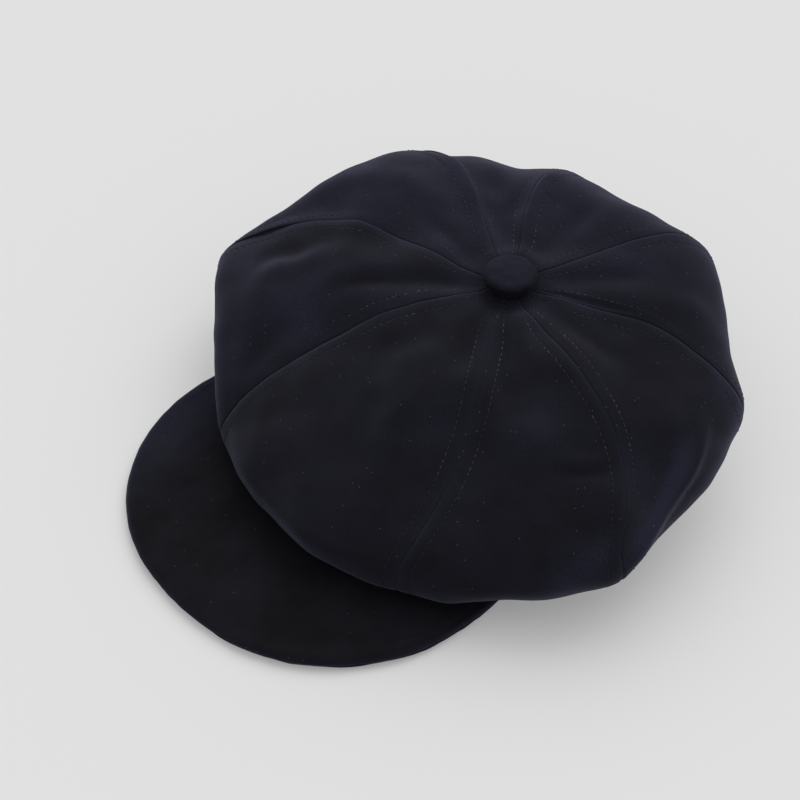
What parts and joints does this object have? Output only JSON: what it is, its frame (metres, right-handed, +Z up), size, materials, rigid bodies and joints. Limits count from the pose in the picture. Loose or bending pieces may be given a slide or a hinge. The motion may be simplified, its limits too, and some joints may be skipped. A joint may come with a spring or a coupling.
{
  "type": "newsboy cap",
  "caption": "Full eight-gore cloth cap gathered under a covered top button, on a stiff band with a soft curved brim that tilts at its root.",
  "frame": {"origin": "centre of the head opening, on the plane that the band's lower edge stands on", "axes": "+Z up through the crown, -Y towards the tip of the brim, +X towards the wearer's left"},
  "size_m": [0.2752, 0.2987, 0.0826],
  "materials": {
    "shell_cloth": "very dark navy brushed twill with a low nap",
    "lining_cloth": "dark smooth lining",
    "sweatband_cloth": "ribbed band tape",
    "stiffener_felt": "pressed non-woven stiffener",
    "board_plastic": "flexible sheet",
    "button_metal": "pressed tinplate"
  },
  "bodies": {
    "cap": {"headband": "shell_cloth", "band_stiffener": "stiffener_felt", "sweatband": "sweatband_cloth", "button_cover": "shell_cloth", "button_shell": "button_metal", "button_back": "button_metal", "front_panel": "shell_cloth", "front_left_panel": "shell_cloth", "left_panel": "shell_cloth", "back_left_panel": "shell_cloth", "back_panel": "shell_cloth", "back_right_panel": "shell_cloth", "right_panel": "shell_cloth", "front_right_panel": "shell_cloth", "front_lining": "lining_cloth", "front_left_lining": "lining_cloth", "left_lining": "lining_cloth", "back_left_lining": "lining_cloth", "back_lining": "lining_cloth", "back_right_lining": "lining_cloth", "right_lining": "lining_cloth", "front_right_lining": "lining_cloth"},
    "brim": {"brim_top_cover": "shell_cloth", "brim_board": "board_plastic", "brim_under_cover": "shell_cloth"}
  },
  "joints": [
    {"name": "brim_tilt", "type": "hinge", "parent": "cap", "child": "brim", "pos_m": [0, -0.075, 0.0032], "axis": [1, 0, 0], "range_deg": [-4, 12], "stiffness_Nm_per_rad": 0.6}
  ]
}
